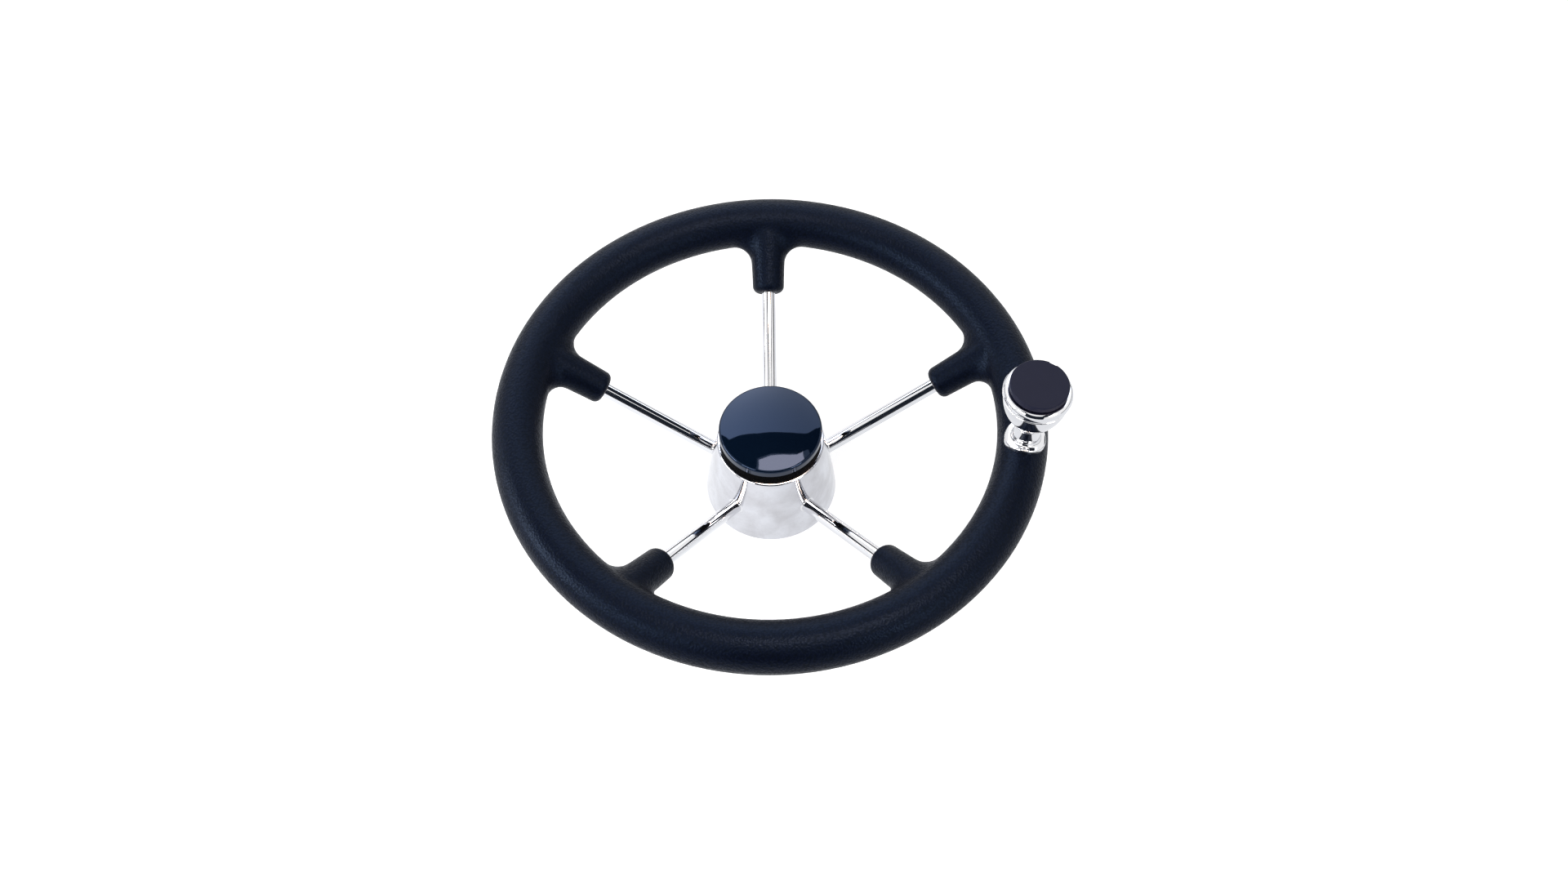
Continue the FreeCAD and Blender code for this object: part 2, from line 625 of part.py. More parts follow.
def make_foot():
    """The fixed foot: a neck blended into a round pad that is curved to sit astride the grip."""
    body = new_body("knob_foot")
    blank = new_sketch(body, "pad_blank_section")
    rim_axis(blank)
    outline(blank, (
        ("-pad_blank_reach", "-grip_radius"),
        ("pad_blank_reach", "-grip_radius"),
        ("pad_blank_reach", "pad_blank_edge", "pad_curve", 1),
        ("-pad_blank_reach", "pad_blank_edge"),
    ))
    pad = turn_about(body, blank, "pad_blank", "Axis0")
    pad.Midplane = True
    bind(pad, "Angle", "4 * atan(pad_radius / ring_radius)")
    round_off = new_sketch(body, "pad_trim_section")
    box_outline(round_off, "pad_radius", "3 * pad_radius", "-2 * grip_radius", "grip_radius")
    turn_about(body, round_off, "pad_trimmed_round", cut=True)
    neck = new_sketch(body, "neck_outline")
    outline(neck, (
        ("0", "-grip_radius / 2"),
        ("neck_radius", "-grip_radius / 2"),
        ("neck_radius", "2 * foot_pad_thickness"),
        ("foot_top_radius", "foot_height - foot_top_edge"),
        ("foot_top_radius - foot_top_edge", "foot_height"),
        ("0", "foot_height"),
    ))
    standing = turn_about(body, neck, "neck")
    flared = soften(body, standing, "neck_blend", "foot_neck_fillet", pad_edge_at("neck_radius"))
    soften(body, flared, "pad_edge_rounded", "foot_pad_round", pad_edge_at("pad_radius"))

    bores = new_sketch(body, "foot_bores")
    outline(bores, (
        ("0", "-grip_radius"),
        ("mount_radius + axle_clearance", "-grip_radius"),
        ("mount_radius + axle_clearance", "mount_proud"),
        ("axle_radius + axle_clearance", "mount_proud"),
        ("axle_radius + axle_clearance", "foot_height - collar_thickness"),
        ("collar_radius + axle_clearance", "foot_height - collar_thickness"),
        ("collar_radius + axle_clearance", "foot_height + collar_thickness"),
        ("0", "foot_height + collar_thickness"),
    ))
    turn_about(body, bores, "foot_bored", cut=True)
    saddle = new_sketch(body, "saddle_section")
    rim_axis(saddle)
    circle(saddle, "0", "-grip_radius", "grip_radius + seat_gap")
    body.Tip = turn_about(body, saddle, "saddle", "Axis0", cut=True)
    return body


def make_axle():
    """The shouldered axle: a stud into the mount, a collar on the foot, the bearing length, a top stud."""
    return turned_piece("knob_axle", (
        ("0", "mount_proud - stud_length"),
        ("stud_radius - end_chamfer", "mount_proud - stud_length"),
        ("stud_radius", "mount_proud - stud_length + end_chamfer"),
        ("stud_radius", "mount_proud"),
        ("axle_radius", "mount_proud"),
        ("axle_radius", "foot_height - collar_thickness"),
        ("collar_radius", "foot_height - collar_thickness"),
        ("collar_radius", "foot_height"),
        ("axle_radius", "foot_height"),
        ("axle_radius", "axle_top"),
        ("stud_radius", "axle_top"),
        ("stud_radius", "nut_seat + nut_height"),
        ("stud_radius - end_chamfer", "nut_seat + nut_height + end_chamfer"),
        ("0", "nut_seat + nut_height + end_chamfer"),
    ))


def washer(label, inner, outer, low, high):
    return turned_piece(label, ((inner, low), (outer, low), (outer, high), (inner, high)))


def make_knob_body():
    """The tulip: a lower bead, a swelling side, a groove under a rounded ring, and the stepped bore."""
    return turned_piece("knob_body", (
        ("bush_radius", "knob_base"),
        ("knob_foot_diameter / 2", "knob_base", "knob_bead_radius", 1),
        ("knob_bead_diameter / 2", "knob_base + knob_bead_height", "knob_belly_radius", 1),
        ("knob_belly_diameter / 2", "groove_base", "knob_groove_radius", -1),
        ("knob_belly_diameter / 2", "groove_base + knob_groove_width", "knob_ring_radius", 1),
        ("knob_rim_diameter / 2", "knob_top"),
        ("cap_pocket_radius", "knob_top"),
        ("cap_pocket_radius", "cap_ledge_height"),
        ("recess_radius", "cap_ledge_height"),
        ("recess_radius", "recess_floor"),
        ("bush_radius", "recess_floor"),
        ("bush_radius", "recess_floor - bush_length"),
        ("knob_web_diameter / 2", "recess_floor - bush_length"),
        ("knob_web_diameter / 2", "knob_base + bush_length"),
        ("bush_radius", "knob_base + bush_length"),
    ))


def make_bush(label, low):
    inner = "axle_radius + bush_running_gap"
    outer = "bush_radius - seat_gap"
    return washer(label, inner, outer, low, f"{low} + bush_length")


def make_knob_cap():
    """The cap: a bevelled disc on a skirt that drops to the ledge, with a pry notch in its edge."""
    body = new_body("knob_cap")
    section = new_sketch(body, "knob_cap_outline")
    outline(section, (
        ("0", "cap_disc_base"),
        ("cap_skirt_radius - knob_cap_skirt", "cap_disc_base"),
        ("cap_skirt_radius - knob_cap_skirt", "cap_ledge_height"),
        ("cap_skirt_radius", "cap_ledge_height"),
        ("cap_skirt_radius", "cap_disc_base"),
        ("knob_cap_diameter / 2", "cap_disc_base"),
        ("knob_cap_diameter / 2", "cap_disc_top - knob_cap_bevel"),
        ("knob_cap_diameter / 2 - knob_cap_bevel", "cap_disc_top"),
        ("0", "cap_disc_top"),
    ))
    turn_about(body, section, "knob_cap_turned")

    def notch(sketch):
        edge = "knob_cap_diameter / 2"
        box_outline(sketch, f"{edge} - notch_depth", f"{edge} + notch_depth",
                    "-notch_width / 2", "notch_width / 2")
        turn = "rotation(vector(0; 0; 1); notch_angle)"
        bind(sketch, "AttachmentOffset", f"placement(vector(0; 0; cap_disc_base); {turn})")

    slot = drill_up(body, "pry_notch", "cap_disc_base", "knob_cap_thickness", notch)
    body.Tip = slot
    return body


def make_nut():
    """A thin hexagon nut with its upper corners turned off."""
    prism = doc.addObject("Part::Prism", "nut_hexagon")
    prism.Polygon = 6
    bind(prism, "Circumradius", "nut_width / 2 / cos(30)")
    bind(prism, "Height", "nut_height")
    turned = doc.addObject("Part::Cone", "nut_turned_corners")
    bind(turned, "Radius1", "nut_width / 2 + nut_height")
    bind(turned, "Radius2", "nut_width / 2")
    bind(turned, "Height", "nut_height")
    blank = doc.addObject("Part::Common", "nut_blank")
    blank.Base = prism
    blank.Tool = turned
    hole = doc.addObject("Part::Cylinder", "nut_hole")
    bind(hole, "Radius", "stud_radius + thread_gap")
    bind(hole, "Height", "nut_height")
    nut = doc.addObject("Part::Cut", "knob_nut")
    nut.Base = blank
    nut.Tool = hole
    nut.Label = "knob_nut"
    spot = "vector(ring_radius * cos(knob_azimuth); ring_radius * sin(knob_azimuth); grip_crown + nut_seat)"
    bind(nut, "Placement", f"placement({spot}; rotation(vector(0; 0; 1); knob_azimuth))")
    return nut


def make_knob():
    """Every piece of the spinner knob, placed on the rim."""
    shaft_hole = "axle_radius + axle_clearance"
    pieces = [
        make_mount(),
        make_foot(),
        make_axle(),
        washer("knob_thrust_washer", shaft_hole, "thrust_diameter / 2",
               "foot_height", "foot_height + thrust_thickness"),
        make_knob_body(),
        make_bush("knob_lower_bush", "knob_base"),
        make_bush("knob_upper_bush", "recess_floor - bush_length"),
        washer("knob_top_washer", "stud_radius + axle_clearance", "top_washer_diameter / 2",
               "axle_top", "nut_seat"),
        make_knob_cap(),
    ]
    for piece in pieces:
        stand_on_rim(piece)
    return pieces + [make_nut()]


# Build, check and write

def check_all(pieces):
    """Stop before anything is written if an object failed or a piece isn't a valid solid."""
    for item in doc.Objects:
        for word in ("Invalid", "Error"):
            if word in item.State:
                raise RuntimeError(f"{item.Name} is marked {word}")
    for piece in pieces:
        shape = piece.Shape
        if shape.isNull() or not shape.isValid() or not shape.Solids:
            raise RuntimeError(f"{piece.Label} has no valid solid")


def check_cut():
    """Stop if a keyway, hole or notch pointed away from its piece and cut nothing."""
    for item in doc.Objects:
        if item.isDerivedFrom("PartDesign::Pocket") or item.isDerivedFrom("PartDesign::Groove"):
            before = item.BaseFeature.Shape.Volume
            if item.Shape.Volume > before - 0.1:
                raise RuntimeError(f"{item.Name} cuts nothing")


sheet = make_sheet()
pieces = [make_grip(), make_core()]
pieces += [make_spoke(place) for place in range(int(number("spoke_count")))]
pieces += [make_cone(), make_boss(), make_plate(), make_seal(), make_cap(), make_retaining_ring()]
pieces += make_knob()
doc.recompute()
check_all(pieces)
check_cut()

os.makedirs("parts", exist_ok=True)
for piece in pieces:
    piece.Shape.exportStep(f"parts/{piece.Label}.step")
    solid_count = len(piece.Shape.Solids)
    print(f"{piece.Label}: {solid_count} solid, {piece.Shape.Volume:.0f} cubic mm")
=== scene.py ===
"""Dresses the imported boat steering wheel: its finishes, the welds round its spokes, and the studio."""

import math

import bpy
import numpy as np
from bpy.props import FloatProperty, FloatVectorProperty, PointerProperty
from bpy.types import Operator, Panel, PropertyGroup
from mathutils import Matrix, Vector


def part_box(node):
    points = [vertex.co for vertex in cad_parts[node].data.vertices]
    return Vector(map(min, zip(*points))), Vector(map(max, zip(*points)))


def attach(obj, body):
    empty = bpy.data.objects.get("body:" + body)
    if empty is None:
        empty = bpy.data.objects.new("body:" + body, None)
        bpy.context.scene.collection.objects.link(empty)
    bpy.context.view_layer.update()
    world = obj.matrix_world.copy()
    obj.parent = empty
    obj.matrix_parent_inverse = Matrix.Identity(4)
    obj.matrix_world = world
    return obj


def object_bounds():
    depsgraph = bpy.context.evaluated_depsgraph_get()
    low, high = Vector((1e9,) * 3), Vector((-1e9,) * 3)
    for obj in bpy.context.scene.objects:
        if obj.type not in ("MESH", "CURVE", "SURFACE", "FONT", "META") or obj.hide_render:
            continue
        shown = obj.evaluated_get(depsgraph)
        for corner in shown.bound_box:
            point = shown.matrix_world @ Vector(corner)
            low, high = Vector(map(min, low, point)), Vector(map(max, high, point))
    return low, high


bl_info = {
    "name": "Boat Steering Wheel",
    "version": (1, 0, 0),
    "blender": (4, 5, 0),
    "location": "View3D > Sidebar > Wheel",
    "description": "Finishes, welds and studio for a stainless boat steering wheel",
    "category": "Object",
}

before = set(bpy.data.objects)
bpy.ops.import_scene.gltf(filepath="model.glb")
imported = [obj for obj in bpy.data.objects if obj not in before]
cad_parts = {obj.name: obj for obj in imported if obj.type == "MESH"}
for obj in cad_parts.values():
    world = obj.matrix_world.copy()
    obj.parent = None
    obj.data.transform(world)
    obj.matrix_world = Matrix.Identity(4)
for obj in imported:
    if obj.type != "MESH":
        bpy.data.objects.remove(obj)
cad_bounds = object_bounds()

MM = 0.001
WHEEL = "wheel"
SPOKES = tuple(f"spoke_{place}" for place in range(1, 6))
INSIDE = (
    "rim_core_tube", "hub_boss", "hub_top_plate", "knob_mount", "knob_axle", "knob_top_washer", "knob_nut",
)


# Places read from the frame

def middle_height(node):
    """The height of a node's middle."""
    low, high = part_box(node)
    return (low[2] + high[2]) / 2


RIM_MIDDLE = middle_height("rim_core_tube")
CEILING = RIM_MIDDLE + 2.0
FLOOR_GAP = 0.3 * MM

# The cone's side and the spokes, as the source has them to about 0.1 mm. The start is where a rod's axis would
# meet the wheel's axis, and the top spoke's place is in degrees from +X
CONE_BASE = 43.1 * MM
CONE_TOP = 34.5 * MM
CONE_SIDE = 53.0 * MM
CONE_BOW = 0.51 * MM
SPOKE_RADIUS = 4.6 * MM
SPOKE_START = 4.98 * MM
SPOKE_CLIMB = 70.2 * MM
SPOKE_RUN = 136.0 * MM
SPOKE_SLOPE = math.atan(SPOKE_CLIMB / SPOKE_RUN)
TOP_SPOKE = 90

# The welds: points round a rod and across the fillet, and how far their hidden side lies under what they join
WELD_SIDES = 64
WELD_ROWS = 11
WELD_SINK = 0.12 * MM

# The search for where a line along a rod meets the cone: its steps, and the share that the cone's lean adds
SEARCH_STEPS = 12
LEAN_SHARE = 0.1


# Settings

class FoamSettings(PropertyGroup):
    colour: FloatVectorProperty(
        name="Skin", description="Colour of the foam's skin", subtype="COLOR", size=3,
        default=(0.0026, 0.0040, 0.0115), min=0.0, max=1.0)
    # Painted shade: the colour between the grain's pebbles is darker than the skin and stands in for the shade
    # in the creases
    crease_shade_colour: FloatVectorProperty(
        name="Crease", description="Colour between the grain's pebbles", subtype="COLOR", size=3,
        default=(0.0008, 0.0013, 0.0040), min=0.0, max=1.0)
    pebble: FloatProperty(
        name="Pebble", description="Width of one pebble of the grain", unit="LENGTH", default=1.35 * MM)
    depth: FloatProperty(
        name="Depth", description="Depth of the grain", unit="LENGTH", default=0.15 * MM)


class SteelSettings(PropertyGroup):
    colour: FloatVectorProperty(
        name="Steel", description="Colour of the polished steel", subtype="COLOR", size=3,
        default=(0.86, 0.86, 0.88), min=0.0, max=1.0)
    haze: FloatProperty(
        name="Haze", description="Roughness that the polishing leaves", default=0.035, min=0.0, max=1.0)
    wave: FloatProperty(
        name="Wave", description="Height of the hand polished unevenness", unit="LENGTH", default=0.02 * MM)


class ConeSettings(PropertyGroup):
    bright: FloatVectorProperty(
        name="Bright", description="Spun sheet where the polish is brightest", subtype="COLOR", size=3,
        default=(0.755, 0.76, 0.80), min=0.0, max=1.0)
    cloud: FloatVectorProperty(
        name="Cloud", description="Spun sheet where the polish is cloudy", subtype="COLOR", size=3,
        default=(0.605, 0.60, 0.625), min=0.0, max=1.0)
    cloud_size: FloatProperty(
        name="Cloud size", description="Width of one cloud in the polish", unit="LENGTH", default=18 * MM)


class CapSettings(PropertyGroup):
    gloss_colour: FloatVectorProperty(
        name="Hub cap", description="Colour of the glossy hub cap", subtype="COLOR", size=3,
        default=(0.0014, 0.0045, 0.0120), min=0.0, max=1.0)
    satin_colour: FloatVectorProperty(
        name="Knob cap", description="Colour of the satin knob cap", subtype="COLOR", size=3,
        default=(0.0130, 0.0145, 0.0330), min=0.0, max=1.0)


class TrimSettings(PropertyGroup):
    weld_width: FloatProperty(
        name="Weld", description="Width of the polished weld round each spoke", unit="LENGTH",
        default=0.9 * MM)


class StudioSettings(PropertyGroup):
    elevation: FloatProperty(
        name="Elevation", description="Camera above the ring's plane", subtype="ANGLE",
        default=math.radians(58.0))
    azimuth: FloatProperty(
        name="Azimuth", description="Camera round the wheel from straight below", subtype="ANGLE",
        default=math.radians(0.96))
    distance: FloatProperty(
        name="Distance", description="Camera to the ring's centre", unit="LENGTH", default=0.862)
    lens: FloatProperty(
        name="Lens", description="Focal length in millimetres on a 36 mm sensor", default=31.9)
    key_power: FloatProperty(
        name="Key", description="Power of the large softbox at the left", default=14.0, unit="POWER")
    low_power: FloatProperty(
        name="Low", description="Power of the softbox at the front", default=4.0, unit="POWER")
    side_power: FloatProperty(
        name="Side", description="Power of the small softbox at the right", default=3.0, unit="POWER")
    overhead_glow: FloatProperty(
        name="Overhead card", description="Brightness of the warm card over the wheel", min=0.0,
        default=11.5)
    rear_glow: FloatProperty(
        name="Rear card", description="Brightness of the cool card behind the wheel", default=2.65, min=0.0)
    floor_size: FloatProperty(
        name="Floor", description="Side of the floor", unit="LENGTH", default=14.0)


SETTINGS = {
    "wheel_foam": FoamSettings,
    "wheel_steel": SteelSettings,
    "wheel_cone": ConeSettings,
    "wheel_caps": CapSettings,
    "wheel_trim": TrimSettings,
    "wheel_studio": StudioSettings,
}


# Material building

CELL_SMOOTHNESS = 0.6


def shade(colour, share):
    """A colour with each of its parts multiplied by a share."""
    return [part * share for part in colour]


class Recipe:
    """A node material being put together, with short ways to add and join its nodes."""

    def __init__(self, name):
        self.material = bpy.data.materials.new(name)
        self.material.use_nodes = True
        self.nodes = self.material.node_tree.nodes
        self.links = self.material.node_tree.links
        self.shader = self.nodes["Principled BSDF"]
        self.place = self.add("ShaderNodeTexCoord").outputs["Object"]

    def add(self, kind, **values):
        node = self.nodes.new(kind)
        for name, value in values.items():
            setattr(node, name, value)
        return node

    def join(self, source, target):
        self.links.new(source, target)

    def fixed(self, **values):
        """Set the shader's own sockets: spaces in a socket's name are written as underscores."""
        for name, value in values.items():
            socket = self.shader.inputs[name.replace("_", " ")]
            socket.default_value = (*value, 1.0) if hasattr(value, "__len__") and len(value) == 3 else value

    def noise(self, size, detail=3.0, place=None, rough=0.5):
        """Noise whose lumps are about size metres wide. Gives its grey output."""
        node = self.add("ShaderNodeTexNoise")
        node.inputs["Scale"].default_value = 1.0 / size
        node.inputs["Detail"].default_value = detail
        node.inputs["Roughness"].default_value = rough
        self.join(place or self.place, node.inputs["Vector"])
        return node.outputs["Fac"]

    def cells(self, size, place):
        """Rounded cells about size metres wide: 0 at each middle, rising to the borders."""
        node = self.add("ShaderNodeTexVoronoi", feature="SMOOTH_F1")
        node.inputs["Scale"].default_value = 1.0 / size
        node.inputs["Smoothness"].default_value = CELL_SMOOTHNESS
        self.join(place, node.inputs["Vector"])
        return node.outputs["Distance"]

    def stretched(self, scale):
        """Object coordinates stretched by a scale on each axis."""
        node = self.add("ShaderNodeMapping")
        node.inputs["Scale"].default_value = scale
        self.join(self.place, node.inputs["Vector"])
        return node.outputs["Vector"]

    def bent(self, size, amount):
        """Object coordinates pushed about by noise, so that cells on them aren't regular."""
        node = self.add("ShaderNodeTexNoise")
        node.inputs["Scale"].default_value = 1.0 / size
        self.join(self.place, node.inputs["Vector"])
        scaled = self.add("ShaderNodeVectorMath", operation="SCALE")
        scaled.inputs["Scale"].default_value = amount
        self.join(node.outputs["Color"], scaled.inputs[0])
        moved = self.add("ShaderNodeVectorMath", operation="ADD")
        self.join(self.place, moved.inputs[0])
        self.join(scaled.outputs["Vector"], moved.inputs[1])
        return moved.outputs["Vector"]

    def remap(self, value, span, levels):
        """The value, going from one level to the other over its span and level beyond it."""
        node = self.add("ShaderNodeMapRange")
        for socket, number in zip(("From Min", "From Max", "To Min", "To Max"), (*span, *levels)):
            node.inputs[socket].default_value = number
        self.join(value, node.inputs["Value"])
        return node.outputs["Result"]

    def sum_of(self, first, second, second_share):
        """first + second x second_share"""
        node = self.add("ShaderNodeMath", operation="MULTIPLY_ADD")
        self.join(second, node.inputs[0])
        node.inputs[1].default_value = second_share
        self.join(first, node.inputs[2])
        return node.outputs["Value"]

    def blend_colours(self, factor, first, second):
        """The first colour where the factor is 0, and the second where it is 1."""
        node = self.add("ShaderNodeMix", data_type="RGBA")
        node.inputs["A"].default_value = (*first, 1.0)
        node.inputs["B"].default_value = (*second, 1.0)
        self.join(factor, node.inputs["Factor"])
        return node.outputs["Result"]

    def bump(self, height, distance):
        """Roughen the surface by a height from 0 to 1, which stands for the distance."""
        node = self.add("ShaderNodeBump")
        node.inputs["Distance"].default_value = distance
        self.join(height, node.inputs["Height"])
        self.join(node.outputs["Normal"], self.shader.inputs["Normal"])


def foam_skin(settings):
    """Moulded foam skin: navy black with a pebbled leather grain, duller in the creases, which also carry
    painted shade.
    """
    recipe = Recipe("foam_skin")
    bent = recipe.bent(settings.pebble * 3, settings.pebble * 1.2)
    pebbles = recipe.cells(settings.pebble, bent)
    crease = recipe.remap(pebbles, (0.35, 0.75), (0.0, 1.0))
    pores = recipe.noise(settings.pebble / 4, 2.0)
    patches = recipe.noise(35 * MM, 3.0)
    # Painted shade: the skin darkens towards the crease colour in the creases between the pebbles
    colour = recipe.blend_colours(crease, settings.colour, settings.crease_shade_colour)
    recipe.join(colour, recipe.shader.inputs["Base Color"])
    dull = recipe.sum_of(recipe.remap(patches, (0.3, 0.7), (0.27, 0.37)), crease, 0.16)
    recipe.join(dull, recipe.shader.inputs["Roughness"])
    raised = recipe.sum_of(recipe.remap(pebbles, (0.1, 0.8), (1.0, 0.0)), pores, 0.25)
    recipe.bump(raised, settings.depth)
    recipe.fixed(IOR=1.45, Specular_IOR_Level=0.15, Specular_Tint=(0.39, 0.59, 0.96))
    return recipe.material


def polished_steel(settings, name, cloud):
    """Mirror polished stainless: cloudy haze, slight waves and hair lines that the buffing leaves."""
    recipe = Recipe(name)
    clouds = recipe.noise(22 * MM, 4.0)
    hairs = recipe.noise(0.8 * MM, 2.0, recipe.stretched((1.0, 1.0, 0.08)))
    share = recipe.remap(clouds, (0.35, 0.7), (0.0, 1.0))
    tint = recipe.blend_colours(share, settings.colour, shade(settings.colour, 0.93))
    recipe.join(tint, recipe.shader.inputs["Base Color"])
    cloudy = recipe.remap(clouds, (0.3, 0.75), (settings.haze, settings.haze + cloud))
    haze = recipe.sum_of(cloudy, hairs, 0.02)
    recipe.join(haze, recipe.shader.inputs["Roughness"])
    recipe.bump(recipe.sum_of(clouds, hairs, 0.02), settings.wave)
    recipe.fixed(Metallic=1.0)
    return recipe.material


def spun_steel(settings):
    """Spun and polished sheet: faint drifting clouds in the polish, and faint rings from the spinning."""
    recipe = Recipe("spun_steel")
    drift = recipe.bent(settings.cloud_size * 2, settings.cloud_size)
    clouds = recipe.noise(settings.cloud_size, 5.0, drift, 0.55)
    rings = recipe.noise(0.9 * MM, 2.0, recipe.stretched((0.02, 0.02, 1.0)))
    share = recipe.remap(clouds, (0.36, 0.66), (0.0, 1.0))
    tint = recipe.blend_colours(share, settings.cloud, settings.bright)
    recipe.join(tint, recipe.shader.inputs["Base Color"])
    haze = recipe.sum_of(recipe.remap(clouds, (0.3, 0.7), (0.10, 0.04)), rings, 0.02)
    recipe.join(haze, recipe.shader.inputs["Roughness"])
    recipe.bump(recipe.sum_of(clouds, rings, 0.03), 0.03 * MM)
    recipe.fixed(Metallic=1.0)
    return recipe.material


def turned_steel(settings):
    """Plain turned stainless: fine tool lines and a satin haze."""
    recipe = Recipe("turned_steel")
    lines = recipe.noise(0.3 * MM, 2.0, recipe.stretched((0.05, 0.05, 1.0)))
    stains = recipe.noise(12 * MM, 4.0)
    tint = recipe.blend_colours(stains, shade(settings.colour, 0.72), shade(settings.colour, 0.84))
    recipe.join(tint, recipe.shader.inputs["Base Color"])
    recipe.join(recipe.remap(stains, (0.3, 0.7), (0.26, 0.38)), recipe.shader.inputs["Roughness"])
    recipe.bump(lines, 0.02 * MM)
    recipe.fixed(Metallic=1.0)
    return recipe.material


def glossy_cap(colour):
    """Glossy moulded plastic: deep navy black, with a moulded face's faint waves and a little dust."""
    recipe = Recipe("glossy_cap")
    waves = recipe.noise(30 * MM, 2.0)
    dust = recipe.noise(1.2 * MM, 4.0)
    tint = recipe.blend_colours(dust, colour, shade(colour, 1.6))
    recipe.join(tint, recipe.shader.inputs["Base Color"])
    recipe.join(recipe.remap(dust, (0.3, 0.8), (0.02, 0.07)), recipe.shader.inputs["Roughness"])
    recipe.bump(waves, 0.05 * MM)
    recipe.fixed(IOR=1.5, Specular_Tint=(0.42, 0.59, 1.0))
    return recipe.material


def satin_cap(colour):
    """Satin moulded plastic: a fine spark-eroded grain with a slight sheen."""
    recipe = Recipe("satin_cap")
    grain = recipe.noise(0.35 * MM, 3.0)
    patches = recipe.noise(10 * MM, 3.0)
    tint = recipe.blend_colours(patches, colour, shade(colour, 1.18))
    recipe.join(tint, recipe.shader.inputs["Base Color"])
    recipe.join(recipe.remap(grain, (0.3, 0.7), (0.42, 0.58)), recipe.shader.inputs["Roughness"])
    recipe.bump(grain, 0.03 * MM)
    recipe.fixed(IOR=1.5, Specular_IOR_Level=0.09)
    return recipe.material


def seal_rubber():
    """Matt black rubber with a fine moulded texture."""
    recipe = Recipe("seal_rubber")
    grain = recipe.noise(0.7 * MM, 3.0)
    tint = recipe.blend_colours(grain, (0.0012, 0.0013, 0.0018), (0.0026, 0.0028, 0.0036))
    recipe.join(tint, recipe.shader.inputs["Base Color"])
    recipe.join(recipe.remap(grain, (0.3, 0.7), (0.6, 0.8)), recipe.shader.inputs["Roughness"])
    recipe.bump(grain, 0.04 * MM)
    recipe.fixed(IOR=1.1, Specular_IOR_Level=0.3)
    return recipe.material


def bearing_plastic():
    """Natural white bearing plastic, faintly mottled."""
    recipe = Recipe("bearing_plastic")
    mottle = recipe.noise(2 * MM, 3.0)
    tint = recipe.blend_colours(mottle, (0.62, 0.60, 0.54), (0.72, 0.70, 0.64))
    recipe.join(tint, recipe.shader.inputs["Base Color"])
    recipe.join(recipe.remap(mottle, (0.3, 0.7), (0.4, 0.5)), recipe.shader.inputs["Roughness"])
    recipe.fixed(IOR=1.48)
    return recipe.material


def finish(nodes, material):
    """Give CAD nodes a material in place of the plain one they were packed with."""
    for name in nodes:
        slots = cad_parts[name].material_slots
        for slot in slots:
            slot.material = material


# Surfaces

def grid_piece(name, points, closed_u, closed_v, material):
    """Make a piece from a grid of points, as an array of u rows by v columns by 3.

    A face joins each point with its next ones along u and v. A closed direction joins its last point back to
    its first.
    """
    rows, columns, _ = points.shape
    u = np.arange(rows if closed_u else rows - 1)
    v = np.arange(columns if closed_v else columns - 1)
    u, v = np.meshgrid(u, v, indexing="ij")
    next_u = (u + 1) % rows
    next_v = (v + 1) % columns
    around = ((u, v), (next_u, v), (next_u, next_v), (u, next_v))
    corners = np.stack([row * columns + column for row, column in around], -1)
    mesh = bpy.data.meshes.new(name)
    mesh.from_pydata(points.reshape(-1, 3).tolist(), [], corners.reshape(-1, 4).tolist())
    mesh.polygons.foreach_set("use_smooth", np.ones(len(mesh.polygons), dtype=bool))
    mesh.materials.append(material)
    mesh.update()
    piece = bpy.data.objects.new(name, mesh)
    bpy.context.collection.objects.link(piece)
    return piece


def cone_radius(height):
    """The cone's outside at a height: a straight line from base to lip, bowed out by 4 bow h (1 - h)."""
    share = height / CONE_SIDE
    return CONE_BASE + (CONE_TOP - CONE_BASE) * share + 4 * CONE_BOW * share * (1 - share)


def weld_points(azimuth, width):
    """The polished fillet where a spoke enters the cone.

    t goes round the rod, and its line along the rod meets the cone at P(t). With a along the rod and b along
    the cone's side away from the rod, both of length 1, the fillet is P + width ((1 - v)^2 a + v^2 b) for v
    from 0 to 1, and it closes through a point just under P.
    """
    turn = np.linspace(0.0, 2 * np.pi, WELD_SIDES, endpoint=False)
    along = np.array((math.cos(SPOKE_SLOPE), 0.0, math.sin(SPOKE_SLOPE)))
    side = np.array((0.0, 1.0, 0.0))
    rise = np.cross(along, side)
    out = np.cos(turn)[:, None] * side + np.sin(turn)[:, None] * rise
    start = np.array((0.0, 0.0, SPOKE_START)) + SPOKE_RADIUS * out
    reach = np.full_like(turn, CONE_BASE)
    for _ in range(SEARCH_STEPS):
        spot = start + reach[:, None] * along
        gap = np.hypot(spot[:, 0], spot[:, 1]) - cone_radius(spot[:, 2])
        reach = reach - gap / (along[0] + LEAN_SHARE)
    spot = start + reach[:, None] * along
    flat = spot * (1.0, 1.0, 0.0)
    flat = flat / np.linalg.norm(flat, axis=1, keepdims=True)
    lean = (CONE_BASE - CONE_TOP) / CONE_SIDE
    normal = flat + (0.0, 0.0, lean)
    normal = normal / np.linalg.norm(normal, axis=1, keepdims=True)
    down = out - np.sum(out * normal, axis=1, keepdims=True) * normal
    down = down / np.linalg.norm(down, axis=1, keepdims=True)
    v = np.linspace(0.0, 1.0, WELD_ROWS)[None, :, None]
    skin = spot[:, None] + width * ((1 - v) ** 2 * along + v ** 2 * down[:, None])
    under = spot[:, None] - WELD_SINK * (normal[:, None] + out[:, None])
    points = np.concatenate((skin, under), axis=1)
    spin = np.array((
        (math.cos(azimuth), -math.sin(azimuth), 0.0),
        (math.sin(azimuth), math.cos(azimuth), 0.0),
        (0.0, 0.0, 1.0),
    ))
    return points @ spin.T


# Operators

class WHEEL_OT_grip(Operator):
    """Finish the foam grip"""
    bl_idname = "wheel.grip"
    bl_label = "Foam grip"

    def execute(self, context):
        finish(("foam_grip",), foam_skin(context.scene.wheel_foam))
        return {"FINISHED"}


